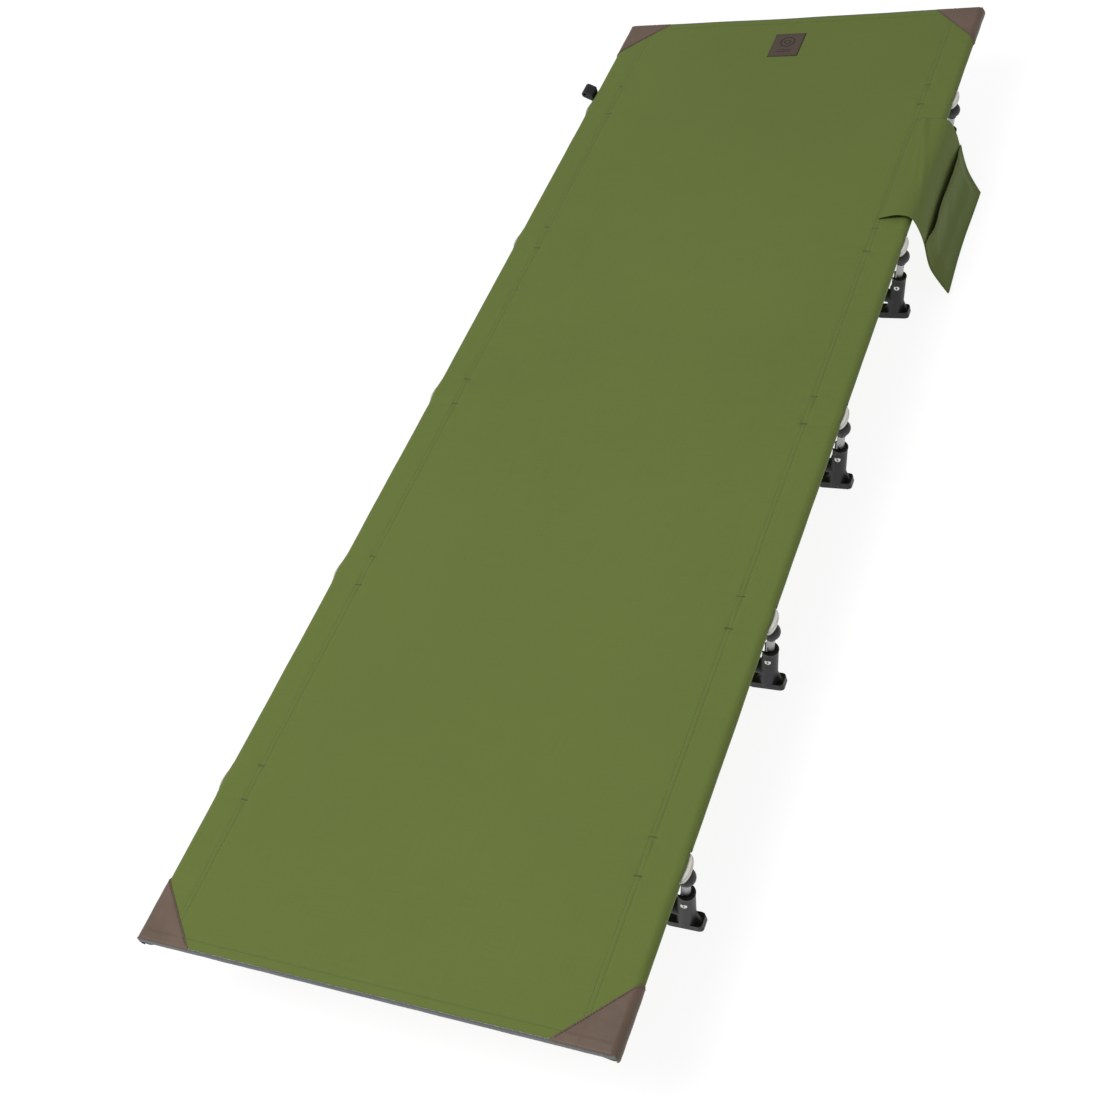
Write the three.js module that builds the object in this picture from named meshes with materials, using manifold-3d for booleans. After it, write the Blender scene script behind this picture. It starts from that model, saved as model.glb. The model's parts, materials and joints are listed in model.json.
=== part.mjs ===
// Low folding camp cot, in millimetres, +Z up, standing on Z = 0.
// +Y is the head end and +X the side with the pocket. A taut bed fabric is stretched between two side
// poles, which lie in sewn sleeves. Each of the leg sets is an arched bow with two feet, and each foot
// carries a short post that pivots on a rivet and ends in a ball. The balls seat under clips (saddles)
// on the side poles, through openings in the sleeves.

import * as THREE from 'three';
import { mergeVertices } from 'three/addons/utils/BufferGeometryUtils.js';
import Module from 'manifold-3d';

const wasm = await Module();
wasm.setup();

// ---------------------------------------------------------------- driving dimensions

const bedLength = 1900;
const bedWidth = 650;
const bedHeight = 150;
const clearance = 0.3;
const runningClearance = 0.4;

const panelThickness = 1.6;
const sleeveThickness = 1;
const seamInset = 48;
const openingLength = 46;
const openingTopAbovePole = 5;

const poleRadius = 8;
const poleWall = 1.2;
const poleSections = 5;
const ferruleLength = 60;
const ferruleWall = 1;
const shockCordRadius = 1.5;
const capFlange = 2;
const capPlug = 14;

const legCount = 5;
const legInset = 236; // from the end of the bed to the nearest leg

const ballRadius = 12;
const ballOutset = 3.5; // ball axis outside the pole axis
const postRadius = 5.5;
const postWall = 1;
const postBelowRivet = 6;
const postIntoBall = 4;
const postOffset = 13; // how far the ball stands outside its rivet
const rivetHeight = 63;
const rivetRadius = 2.5;
const rivetHeadRadius = 4.2;
const rivetHeadThickness = 1.8;

const footWidth = 23;
const footLength = 52;
const footToe = 7; // how far the toe stands inside the bed edge
const footBaseThickness = 13;
const footCornerRadius = 6;
const columnRadius = 11.6;
const mouthAboveRivet = 18.5;

const bowRadius = 6;
const bowWall = 1.3;
const bowRise = 30;
const bowEndHeight = 38;
const bowEndInset = 18; // from the rivet in to the end of the bow
const socketRadius = 10.5;
const socketLength = 22;

const saddleWeb = 3.1; // between the pole and the ball
const saddleLength = 42;
const saddleRadius = 13;
const saddleEndRadius = 11.6;
const saddleShift = 2; // barrel axis out from and below the pole axis

const patchAcross = 80;
const patchAlong = 85;
const patchThickness = 1;
const patchWrap = -60; // where the patch ends under the sleeve, degrees from level
const bindingHeight = 10;
const bindingThickness = 1.6;
const labelWidth = 54;
const labelLength = 65;
const labelThickness = 1.2;
const labelFromEnd = 48;

const pocketWidth = 240;
const pocketOffset = -12.5; // from half way between the two legs at the head end
const pocketThickness = 1.6;
const pocketDrop = 142;
const pocketMouthDrop = 45;
const pocketFlare = 40; // bottom edge outside the bed edge
const pocketMouth = 9;
const pocketBulge = 8;

const catchLength = 24;
const catchReach = 29;
const catchRise = 18;
const catchThickness = 13;
const catchWall = 2.6;

// ---------------------------------------------------------------- derived places

const edgeX = bedWidth / 2;
const seamX = edgeX - seamInset;
const sleeveInner = poleRadius + clearance;
const sleeveOuter = sleeveInner + sleeveThickness;
const poleX = edgeX - sleeveOuter;
const poleZ = bedHeight - sleeveOuter;
const fabricEndY = bedLength / 2 - bindingThickness - clearance;
const poleEndY = fabricEndY - capFlange - 1;

const ballX = poleX + ballOutset;
const ballZ = poleZ - poleRadius - clearance - saddleWeb - clearance - ballRadius;
const rivetX = ballX - postOffset;
const postRise = ballZ - rivetHeight;
const postLength = Math.hypot(postOffset, postRise);
const postLean = Math.atan2(postOffset, postRise);
const postBore = postRadius + runningClearance;
const postEndSweep = Math.hypot(postRadius, postBelowRivet) + runningClearance;

const toeX = edgeX - footToe;
const bowEndX = rivetX - bowEndInset;
const bowArcRadius = (bowEndX ** 2 + bowRise ** 2) / (2 * bowRise);
const bowEndSlope = Math.asin(bowEndX / bowArcRadius);
const legPitch = (bedLength - 2 * legInset) / (legCount - 1);
const legPlaces = Array.from({ length: legCount }, (_, i) => (i - (legCount - 1) / 2) * legPitch);
const headLegY = legPlaces[legCount - 1];
const pocketCentre = headLegY - legPitch / 2 + pocketOffset;

// ---------------------------------------------------------------- geometry helpers

const { cos, sin, PI } = Math;
const radians = THREE.MathUtils.degToRad;

function solidOf(geometry) {
  const bare = geometry.clone();
  bare.deleteAttribute('normal');
  bare.deleteAttribute('uv');
  const merged = mergeVertices(bare, 1e-4);
  const vertProperties = new Float32Array(merged.attributes.position.array);
  const triVerts = new Uint32Array(merged.index.array);
  return new wasm.Manifold(new wasm.Mesh({ numProp: 3, vertProperties, triVerts }));
}

function geometryOf(solid) {
  const mesh = solid.getMesh();
  const geometry = new THREE.BufferGeometry();
  geometry.setAttribute('position', new THREE.BufferAttribute(mesh.vertProperties, 3));
  geometry.setIndex(new THREE.BufferAttribute(mesh.triVerts, 1));
  geometry.computeVertexNormals();
  return geometry;
}

function join(...geometries) {
  const solids = geometries.map(solidOf);
  return geometryOf(solids.reduce((sum, next) => sum.add(next)));
}

function cut(geometry, ...tools) {
  return geometryOf(tools.map(solidOf).reduce((rest, tool) => rest.subtract(tool), solidOf(geometry)));
}

function common(a, b) {
  return geometryOf(solidOf(a).intersect(solidOf(b)));
}

// A line to the start of an arc, and the arc.
function lineAndArc(path, x, y, radius, from, to, clockwise = false) {
  path.lineTo(x + radius * cos(from), y + radius * sin(from));
  path.absarc(x, y, radius, from, to, clockwise);
}

// The radius at which a bore with flat facets still clears a round piece of the given radius.
function clearOf(radius, sides) {
  return radius / cos(PI / sides);
}

function boxBetween(low, high) {
  const size = high.map((value, i) => value - low[i]);
  const box = new THREE.BoxGeometry(...size);
  return box.translate(...low.map((value, i) => value + size[i] / 2));
}

// A shape drawn in X and Z, given depth along Y, from `from` to `to`.
function prismAlongY(shape, from, to, curveSegments = 5) {
  const prism = new THREE.ExtrudeGeometry(shape, { depth: to - from, bevelEnabled: false, curveSegments });
  return prism.rotateX(PI / 2).translate(0, to, 0);
}

// A shape drawn in X and Y, given height along Z.
function prismUp(shape, from, to, curveSegments = 3) {
  const prism = new THREE.ExtrudeGeometry(shape, { depth: to - from, bevelEnabled: false, curveSegments });
  return prism.translate(0, 0, from);
}

function cylinderAlongY(radius, from, to, sides) {
  return new THREE.CylinderGeometry(radius, radius, to - from, sides).translate(0, (from + to) / 2, 0);
}

function cylinderUp(radius, from, to, sides) {
  return cylinderAlongY(radius, from, to, sides).rotateX(PI / 2);
}

// An open tube along Y.
function tubeAlongY(outer, inner, from, to, sides) {
  const profile = [[inner, from], [outer, from], [outer, to], [inner, to], [inner, from]];
  return new THREE.LatheGeometry(profile.map(([r, y]) => new THREE.Vector2(r, y)), sides);
}

function mirroredInX(geometry) {
  const mirrored = geometry.index ? geometry.toNonIndexed() : geometry.clone();
  mirrored.scale(-1, 1, 1);
  const { array } = mirrored.attributes.position;
  for (let i = 0; i < array.length; i += 9) {
    for (let k = 0; k < 3; k += 1) {
      [array[i + 3 + k], array[i + 6 + k]] = [array[i + 6 + k], array[i + 3 + k]];
    }
  }
  mirrored.computeVertexNormals();
  return mirrored;
}

// The outline of a strip of even thickness along a line of points.
function stripOutline(points, thickness) {
  const normals = points.map((_, i) => {
    const before = points[Math.max(i - 1, 0)];
    const after = points[Math.min(i + 1, points.length - 1)];
    return new THREE.Vector2(before.y - after.y, after.x - before.x).normalize();
  });
  const offset = (side) => points.map((p, i) => p.clone().addScaledVector(normals[i], side * thickness / 2));
  return new THREE.Shape([...offset(1), ...offset(-1).reverse()]);
}

// Points on an arc about the pole axis, from one angle to another, in degrees from level.
function poleArc(radius, from, to, steps) {
  return Array.from({ length: steps + 1 }, (_, i) => {
    const angle = radians(from + (to - from) * i / steps);
    return new THREE.Vector2(poleX + radius * cos(angle), poleZ + radius * sin(angle));
  });
}

// ---------------------------------------------------------------- fabric parts

// One wall of the sleeve's cross-section: flat from the seam to the pole, round it, and straight back.
function sleeveOutline(startX, topZ, lowZ, radius) {
  const toStart = new THREE.Vector2(startX - poleX, lowZ - poleZ);
  const tangent = toStart.angle() + Math.acos(radius / toStart.length());
  const round = poleArc(radius, 90, THREE.MathUtils.radToDeg(tangent) - 360, 8);
  const ends = topZ === lowZ ? [] : [new THREE.Vector2(startX, lowZ)];
  return [new THREE.Vector2(startX, topZ), ...round, ...ends];
}

// The sleeve on the +X side, with an opening under and outside the pole at each leg.
// The length of `extra` adds to the head-end opening, towards the head.
function sleeve(extra) {
  const split = bedHeight - sleeveThickness;
  const shape = new THREE.Shape(sleeveOutline(seamX, bedHeight, split - sleeveThickness, sleeveOuter));
  const inside = sleeveOutline(seamX + 3, split, split, sleeveInner);
  shape.holes.push(new THREE.Path(inside.reverse()));
  const openings = legPlaces.map((y) => boxBetween(
    [seamX, y - openingLength / 2, poleZ - 2 * sleeveOuter],
    [edgeX + 1, y + openingLength / 2 + (y === headLegY ? extra : 0), poleZ + openingTopAbovePole],
  ));
  return cut(prismAlongY(shape, -fabricEndY, fabricEndY), ...openings);
}

// One sewn piece: the panel and the sleeves along its long edges.
function bedFabric() {
  const overlap = 1;
  const halfWidth = seamX + overlap;
  const low = [-halfWidth, -fabricEndY, bedHeight - panelThickness];
  const panel = boxBetween(low, [halfWidth, fabricEndY, bedHeight]);
  return join(panel, sleeve(0), mirroredInX(sleeve(catchLength + 2)));
}

// The corner patch at +X, +Y: a thin skin over the sleeve, cut to a triangle seen from above.
function cornerPatch() {
  const centre = clearance + patchThickness / 2;
  const start = new THREE.Vector2(edgeX - patchAcross, bedHeight + centre);
  const line = [start, ...poleArc(sleeveOuter + centre, 90, patchWrap, 8)];
  const skin = prismAlongY(stripOutline(line, patchThickness), fabricEndY - 1.3 * patchAlong, fabricEndY);
  const slope = patchAlong / patchAcross;
  const outX = edgeX + 3 * patchThickness;
  const endY = bedLength / 2;
  const triangle = new THREE.Shape([
    new THREE.Vector2(edgeX - patchAcross - clearance, endY),
    new THREE.Vector2(outX, endY - slope * (outX - edgeX + patchAcross)),
    new THREE.Vector2(outX, endY),
  ]);
  return common(skin, prismUp(triangle, bedHeight - 3 * poleRadius, bedHeight + 2 * patchThickness));
}

function endBinding(direction) {
  const inner = direction * (fabricEndY + clearance);
  const outer = direction * bedLength / 2;
  const low = [-edgeX, Math.min(inner, outer), bedHeight - bindingHeight];
  return boxBetween(low, [edgeX, Math.max(inner, outer), bedHeight]);
}

function label() {
  const top = bedLength / 2 - labelFromEnd;
  const bottomZ = bedHeight + clearance;
  const low = [-labelWidth / 2, top - labelLength, bottomZ];
  return boxBetween(low, [labelWidth / 2, top, bottomZ + labelThickness]);
}

// ---------------------------------------------------------------- pocket

// The middle line of the pocket's back: loosely over the sleeve, down, and out to the bottom edge.
function pocketBackLine() {
  const onPanel = bedHeight + clearance + pocketThickness;
  return new THREE.SplineCurve([
    new THREE.Vector2(seamX + 6, onPanel),
    new THREE.Vector2(edgeX - 22, onPanel + 3),
    new THREE.Vector2(edgeX + 4, onPanel),
    new THREE.Vector2(edgeX + 12, bedHeight - pocketMouthDrop / 2),
    new THREE.Vector2(edgeX + 15, bedHeight - pocketMouthDrop),
    new THREE.Vector2(edgeX + pocketFlare / 2, bedHeight - (pocketMouthDrop + pocketDrop) / 2),
    new THREE.Vector2(edgeX + pocketFlare, bedHeight - pocketDrop),
  ]);
}

function pocketBack() {
  const outline = stripOutline(pocketBackLine().getPoints(18), pocketThickness);
  return prismAlongY(outline, pocketCentre - pocketWidth / 2, pocketCentre + pocketWidth / 2);
}

// The pocket's front: a wall that stands off the back, closed at the sides and the bottom.
function pocketFront() {
  const backLine = pocketBackLine();
  const steps = 8;
  const mouthAt = 4 / 6; // the fifth of the seven points
  const at = (s) => mouthAt + (1 - mouthAt) * s;
  const outward = (s) => {
    const along = backLine.getTangent(at(s));
    return new THREE.Vector2(-along.y, along.x);
  };
  const face = (standOff) => Array.from({ length: steps + 1 }, (_, i) => {
    const s = i / steps;
    return backLine.getPoint(at(s)).addScaledVector(outward(s), standOff(s));
  });
  const nearBack = pocketThickness / 2 + clearance;
  const front = (s) => nearBack + pocketThickness + pocketMouth * (1 - s) + pocketBulge * sin(PI * s);
  const outer = new THREE.Shape([...face(() => nearBack), ...face(front).reverse()]);
  const hollowTo = (s) => front(s) - pocketThickness;
  const hollowFace = face(hollowTo).slice(0, steps);
  const above = new THREE.Vector2(0, pocketMouth);
  const hollowTop = [hollowFace[0].clone().add(above), face(() => 0)[0].add(above)];
  const hollow = new THREE.Shape([...face(() => 0).slice(0, steps), ...hollowFace.reverse(), ...hollowTop]);
  const side = pocketWidth / 2;
  return cut(
    prismAlongY(outer, pocketCentre - side, pocketCentre + side),
    prismAlongY(hollow, pocketCentre - side + pocketThickness, pocketCentre + side - pocketThickness),
  );
}

// ---------------------------------------------------------------- side poles

// Where one pole section ends and the next begins: half way between legs.
const poleBreaks = Array.from(
  { length: poleSections - 1 },
  (_, i) => (i - (poleSections - 2) / 2) * legPitch,
);

// The pole's sections, with a ferrule pressed into each pair of neighbours.
function sidePole() {
  const stops = [-poleEndY, ...poleBreaks, poleEndY];
  const inner = poleRadius - poleWall;
  const sections = stops.slice(1).map((stop, i) => (
    tubeAlongY(poleRadius, inner, stops[i] + clearance / 2, stop - clearance / 2, 8)
  ));
  const pressed = 0.1;
  const ferrules = poleBreaks.map((y) => (
    tubeAlongY(inner + pressed, inner - ferruleWall, y - ferruleLength / 2, y + ferruleLength / 2, 8)
  ));
  return join(...sections, ...ferrules).translate(poleX, 0, poleZ);
}

// The elastic cord that runs through the sections, tied to a cap that closes each end of the pole.
function shockCord() {
  const plug = poleRadius - poleWall - clearance;
  const profile = [[0, poleEndY - capPlug], [plug, poleEndY - capPlug], [plug, poleEndY + clearance],
    [poleRadius, poleEndY + clearance], [poleRadius, poleEndY + capFlange], [0, poleEndY + capFlange]];
  const cap = new THREE.LatheGeometry(profile.map(([r, y]) => new THREE.Vector2(r, y)), 8);
  const reach = poleEndY - capPlug / 2;
  const cord = cylinderAlongY(shockCordRadius, -reach, reach, 6);
  return join(cord, cap, cap.clone().rotateZ(PI)).translate(poleX, 0, poleZ);
}

// ---------------------------------------------------------------- saddles and catch

// A barrel clipped round the pole, thicker outside and below, with the seat for the ball underneath.
// The seat is open towards the middle of the bed, so that a ball can leave it sideways.
function saddle() {
  const half = saddleLength / 2;
  const outline = [-1, -0.5, 0.5, 1].map((s) => {
    const radius = saddleEndRadius + (saddleRadius - saddleEndRadius) * (1 - s * s);
    return new THREE.Vector2(radius, s * half);
  });
  const profile = [new THREE.Vector2(0, -half), ...outline, new THREE.Vector2(0, half)];
  const barrel = new THREE.LatheGeometry(profile, 12).translate(poleX + saddleShift, 0, poleZ - saddleShift);
  const bore = cylinderAlongY(clearOf(sleeveInner, 10), -half - 1, half + 1, 10).translate(poleX, 0, poleZ);
  const seat = clearOf(ballRadius + clearance, 10);
  const ball = new THREE.SphereGeometry(seat, 10, 8).translate(ballX, 0, ballZ);
  const ballTop = ballZ + ballRadius + clearance;
  const wayOut = boxBetween([ballX - 40, -half - 1, ballZ - 40], [ballX, half + 1, ballTop]);
  const topZ = poleZ + openingTopAbovePole - clearance;
  const top = boxBetween([poleX - 40, -half - 1, topZ], [poleX + 40, half + 1, topZ + 40]);
  return cut(barrel, bore, ball, wayOut, top);
}

// A clip beside the head-end saddle on the -X side, with a tab that stands out from the bed edge.
function edgeCatch() {
  const ringRadius = sleeveInner + catchWall;
  const start = headLegY + saddleLength / 2 + 1.5;
  const angle = Math.atan2(catchRise, catchReach);
  const tabLength = Math.hypot(catchReach, catchRise);
  const half = catchThickness / 2;
  const tab = new THREE.Shape();
  tab.moveTo(sleeveInner + 1, -half);
  lineAndArc(tab, tabLength - half, 0, half, -PI / 2, PI / 2);
  tab.lineTo(sleeveInner + 1, half);
  const end = start + catchLength;
  const ring = cylinderAlongY(ringRadius, start, end, 12);
  const arm = prismAlongY(tab, start, end, 4).rotateY(-angle);
  const bore = cylinderAlongY(clearOf(sleeveInner, 12), start - 1, end + 1, 12);
  const topZ = openingTopAbovePole - clearance;
  const top = boxBetween([-40, start - 1, topZ], [sleeveOuter + clearance, end + 1, topZ + 40]);
  return mirroredInX(cut(join(ring, arm), bore, top).translate(poleX, 0, poleZ));
}

// ---------------------------------------------------------------- leg parts

// From the post's own axis, with its rivet at zero, to its place in a +X foot.
function alongPost(geometry) {
  return geometry.rotateY(postLean).translate(rivetX, 0, rivetHeight);
}

function post() {
  const low = -postBelowRivet;
  const high = postLength + postIntoBall - clearance;
  const tube = tubeAlongY(postRadius, postRadius - postWall, low, high, 10).rotateX(PI / 2);
  const hole = cylinderAlongY(clearOf(rivetRadius + clearance, 8), -postRadius - 1, postRadius + 1, 8);
  return alongPost(cut(tube, hole));
}

function ball() {
  const bore = clearOf(postRadius + clearance, 10);
  const mouth = Math.acos(bore / ballRadius);
  const steps = 6;
  const arc = Array.from({ length: steps + 1 }, (_, i) => {
    const angle = -mouth + (PI / 2 + mouth) * i / steps;
    return new THREE.Vector2(i === steps ? 0 : ballRadius * cos(angle), ballRadius * sin(angle));
  });
  const profile = [new THREE.Vector2(0, postIntoBall), new THREE.Vector2(bore, postIntoBall), ...arc];
  return alongPost(new THREE.LatheGeometry(profile, 10).rotateX(PI / 2).translate(0, 0, postLength));
}

function footBase() {
  const heelX = toeX - footLength;
  const y = footWidth / 2;
  const r = footCornerRadius;
  const shape = new THREE.Shape();
  shape.moveTo((heelX + toeX) / 2, -y);
  lineAndArc(shape, toeX - r, r - y, r, -PI / 2, 0);
  lineAndArc(shape, toeX - r, y - r, r, 0, PI / 2);
  lineAndArc(shape, heelX + r, y - r, r, PI / 2, PI);
  lineAndArc(shape, heelX + r, r - y, r, PI, 1.5 * PI);
  return prismUp(shape, 0, footBaseThickness, 1);
}

// The direction of the bow where it enters the +X foot, and back: local X runs out along the bow's axis.
function alongBowEnd(geometry) {
  return geometry.rotateY(bowEndSlope).translate(bowEndX, 0, bowEndHeight);
}

function foot() {
  const below = -(rivetHeight - footBaseThickness / 2) / cos(postLean);
  const column = alongPost(cylinderUp(columnRadius, below, mouthAboveRivet, 12));
  const socket = alongBowEnd(cylinderUp(socketRadius, -socketLength, 14, 10).rotateY(PI / 2));
  const body = join(column, socket, footBase());
  const channelTop = mouthAboveRivet + 20;
  const bore = alongPost(cylinderUp(clearOf(postBore, 10), 0, channelTop, 10));
  const slot = alongPost(boxBetween([-60, -postBore, -postEndSweep], [0, postBore, channelTop]));
  const sweepRadius = clearOf(postEndSweep, 10);
  const sweep = cylinderAlongY(sweepRadius, -postBore, postBore, 10).translate(rivetX, 0, rivetHeight);
  const bowHoleRadius = clearOf(bowRadius + 2 * clearance, 8);
  const bowHole = alongBowEnd(cylinderUp(bowHoleRadius, -socketLength - 10, clearance, 8).rotateY(PI / 2));
  return join(cut(body, bore, slot, sweep, bowHole), rivet());
}

// The rivet through both cheeks, with a head on each. It is clenched in its foot, and the post turns on it.
function rivet() {
  const seat = columnRadius - 1;
  const profile = [[0, -seat - rivetHeadThickness], [0.7 * rivetHeadRadius, -seat - rivetHeadThickness],
    [rivetHeadRadius, -seat], [rivetRadius, -seat], [rivetRadius, seat], [rivetHeadRadius, seat],
    [0.7 * rivetHeadRadius, seat + rivetHeadThickness], [0, seat + rivetHeadThickness]];
  const points = profile.map(([r, y]) => new THREE.Vector2(r, y));
  return new THREE.LatheGeometry(points, 8).translate(rivetX, 0, rivetHeight);
}

// The arched tube between two feet, as an arc of a circle in the X, Z plane.
class BowArc extends THREE.Curve {
  getPoint(t, target = new THREE.Vector3()) {
    const angle = bowEndSlope * (2 * t - 1);
    const drop = bowArcRadius * (1 - cos(angle));
    return target.set(bowArcRadius * sin(angle), 0, bowEndHeight + bowRise - drop);
  }
}

function bow() {
  const section = new THREE.Shape();
  section.absarc(0, 0, bowRadius, 0, 2 * PI, false);
  const inside = new THREE.Path();
  inside.absarc(0, 0, bowRadius - bowWall, 0, 2 * PI, false);
  section.holes.push(inside);
  return new THREE.ExtrudeGeometry(section, { steps: 8, extrudePath: new BowArc(), curveSegments: 4 });
}

// ---------------------------------------------------------------- assembly

const finishes = {
  fabric: { color: 0x586b33, roughness: 0.85, metalness: 0 },
  leather: { color: 0x6e5c52, roughness: 0.6, metalness: 0 },
  binding: { color: 0x5f6166, roughness: 0.8, metalness: 0 },
  aluminium: { color: 0x9a9a96, roughness: 0.4, metalness: 0.9 },
  blackNylon: { color: 0x1d1f21, roughness: 0.5, metalness: 0 },
  greyBall: { color: 0x303034, roughness: 0.6, metalness: 0 },
  creamNylon: { color: 0xc8c8b4, roughness: 0.6, metalness: 0 },
  cord: { color: 0x202020, roughness: 0.9, metalness: 0 },
};

function addPart(group, name, geometry, finish) {
  const mesh = new THREE.Mesh(geometry, new THREE.MeshStandardMaterial(finishes[finish]));
  mesh.name = name;
  group.add(mesh);
}

function bed() {
  const group = new THREE.Group();
  addPart(group, 'bed_fabric', bedFabric(), 'fabric');
  const patch = cornerPatch();
  addPart(group, 'corner_patch_head_right', patch, 'leather');
  addPart(group, 'corner_patch_head_left', mirroredInX(patch), 'leather');
  addPart(group, 'corner_patch_foot_left', patch.clone().rotateZ(PI), 'leather');
  addPart(group, 'corner_patch_foot_right', mirroredInX(patch).rotateZ(PI), 'leather');
  addPart(group, 'end_binding_head', endBinding(1), 'binding');
  addPart(group, 'end_binding_foot', endBinding(-1), 'binding');
  addPart(group, 'label_patch', label(), 'leather');
  addPart(group, 'pocket_back', pocketBack(), 'fabric');
  addPart(group, 'pocket_front', pocketFront(), 'fabric');
  addPart(group, 'edge_catch', edgeCatch(), 'blackNylon');
  return group;
}

// Each side and leg is made for +X. The -X half is the same turned round.
function halves(group, addHalf) {
  for (const side of ['right', 'left']) {
    const half = new THREE.Group();
    half.rotation.z = side === 'left' ? PI : 0;
    addHalf(half, side);
    group.add(half);
  }
  return group;
}

function poles() {
  return halves(new THREE.Group(), (half, side) => {
    addPart(half, `side_pole_${side}`, sidePole(), 'aluminium');
    addPart(half, `shock_cord_${side}`, shockCord(), 'cord');
  });
}

// Legs are numbered from the foot end.
function leg(number, y) {
  const group = new THREE.Group();
  group.position.y = y;
  addPart(group, `leg_${number}_bow`, bow(), 'aluminium');
  return halves(group, (half, side) => {
    addPart(half, `leg_${number}_foot_${side}`, foot(), 'blackNylon');
    addPart(half, `leg_${number}_post_${side}`, post(), 'aluminium');
    addPart(half, `leg_${number}_ball_${side}`, ball(), 'greyBall');
    addPart(half, `saddle_${number}_${side}`, saddle(), 'creamNylon');
  });
}

const cot = new THREE.Group();
cot.add(bed(), poles());
legPlaces.forEach((y, i) => cot.add(leg(i + 1, y)));

// The origin is under the middle of the overall box, pocket included.
const overall = new THREE.Box3().setFromObject(cot);
cot.position.x = -(overall.min.x + overall.max.x) / 2;

export default cot;
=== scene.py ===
"""Looks for the low folding camp cot: cloth, leatherette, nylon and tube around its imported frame.

Shapes are worked out in millimetres from the cot's own centre line, and made into meshes in metres.
"""

import json
import math
import random

import bmesh
import bpy
import numpy as np
from mathutils import Euler, Matrix, Vector, noise


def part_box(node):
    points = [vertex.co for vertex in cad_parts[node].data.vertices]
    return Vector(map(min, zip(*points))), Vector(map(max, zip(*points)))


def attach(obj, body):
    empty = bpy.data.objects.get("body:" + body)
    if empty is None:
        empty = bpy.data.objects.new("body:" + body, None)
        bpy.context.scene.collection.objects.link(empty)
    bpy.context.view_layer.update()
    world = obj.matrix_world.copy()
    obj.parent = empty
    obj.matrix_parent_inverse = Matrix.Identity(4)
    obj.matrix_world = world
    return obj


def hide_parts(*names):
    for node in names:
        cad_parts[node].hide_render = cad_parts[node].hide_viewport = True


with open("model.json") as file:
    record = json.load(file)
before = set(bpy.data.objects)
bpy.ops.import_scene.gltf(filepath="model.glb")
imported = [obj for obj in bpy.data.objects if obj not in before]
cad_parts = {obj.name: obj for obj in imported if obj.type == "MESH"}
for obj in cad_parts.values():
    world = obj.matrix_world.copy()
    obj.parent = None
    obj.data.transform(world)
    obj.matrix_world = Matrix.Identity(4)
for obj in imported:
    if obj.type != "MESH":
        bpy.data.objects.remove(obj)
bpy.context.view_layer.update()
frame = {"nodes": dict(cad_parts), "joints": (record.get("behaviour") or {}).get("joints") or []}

random.seed(11)
MM = 0.001

# ---- places that the frame gives


def middle(node):
    low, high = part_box(node)
    return (low + high) / 2 / MM


def joint_place(name):
    return Vector(next(j["pos_m"] for j in frame["joints"] if j["name"] == name)) / MM


CENTRE_X = middle("bed_fabric").x
POLE = middle("side_pole_right") - Vector((CENTRE_X, 0, 0))
TOP_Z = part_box("bed_fabric")[1].z / MM
END_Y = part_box("bed_fabric")[1].y / MM
POLE_END_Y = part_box("side_pole_right")[1].y / MM
LEGS = (1, 2, 3, 4, 5)
SIDES = ((1, "right"), (-1, "left"))
LEG_Y = [joint_place(f"leg_{n}_fold").y for n in LEGS]
BALL = joint_place("leg_3_fold") - Vector((CENTRE_X, 0, 0))
RIVET = joint_place("leg_3_right_rivet") - Vector((CENTRE_X, 0, 0))

# ---- sizes, in millimetres

CLOTH = 1.0
POLE_R = 8.0
POLE_WALL = 1.2
SLEEVE_R = TOP_Z - POLE.z
EDGE_X = POLE.x + SLEEVE_R
SEAM_INSET = 48.0
SEAM_X = EDGE_X - SEAM_INSET
STITCH_GAP = 3.0
OPENING = 46.0
CATCH_ROOM = 26.0
OPENING_TOP = 2.6  # above the pole axis
OPENING_ANGLE = math.degrees(math.asin(OPENING_TOP / SLEEVE_R))
BARTACK_AWAY = 3.0  # from the end of an opening
HEM = 12.0

BALL_R = 12.0
POST_R = 5.5
POST_WALL = 1.0
POST_BELOW = 6.0
POST_INTO_BALL = 4.0
POST_LEAN = math.atan2(BALL.x - RIVET.x, BALL.z - RIVET.z)
POST_LENGTH = math.hypot(BALL.x - RIVET.x, BALL.z - RIVET.z)
RUNNING = 0.4  # room round a moving piece
POST_BORE = POST_R + RUNNING
SWEEP_R = math.hypot(POST_R, POST_BELOW) + RUNNING

FOOT_LENGTH = 50.0
FOOT_WIDTH = 21.0
FOOT_TOE = 9.0
FOOT_BASE = 12.0
FOOT_CORNER = 5.0
COLUMN_R = 11.6
MOUTH = 17.0
RIVET_R = 2.5
RIVET_HEAD_R = 4.3

BOW_R = 6.0
BOW_WALL = 1.3
BOW_RISE = 30.0
BOW_END_Z = 38.0
BOW_END_INSET = 18.0
BOW_END_X = RIVET.x - BOW_END_INSET
BOW_ARC = (BOW_END_X**2 + BOW_RISE**2) / (2 * BOW_RISE)
BOW_SLOPE = math.asin(BOW_END_X / BOW_ARC)
SOCKET_R = 10.5
SOCKET_LENGTH = 22.0

PATCH_ACROSS = 80.0
PATCH_ALONG = 85.0
PATCH_WRAP = -60.0
PATCH_LIFT = 1.15
PATCH_FLAT = POLE.x - (EDGE_X - PATCH_ACROSS)
PATCH_SPAN = PATCH_FLAT + math.radians(90 - PATCH_WRAP) * (SLEEVE_R + PATCH_LIFT)
BINDING_HIGH = 10.0
BINDING_RIB = 2.1
PATCH_SEAM = 1.9
LABEL_WIDE = 54.0
LABEL_LONG = 65.0
LABEL_TOP = END_Y - 46.1
LABEL_LIFT = 1.4
LABEL_STEP = 0.7  # between the points of its skin

POCKET_WIDE = 240.0
POCKET_NEAR = middle("pocket_back").y - POCKET_WIDE / 2
POCKET_FAR = middle("pocket_back").y + POCKET_WIDE / 2
POCKET_CLOTH = 1.2

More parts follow.
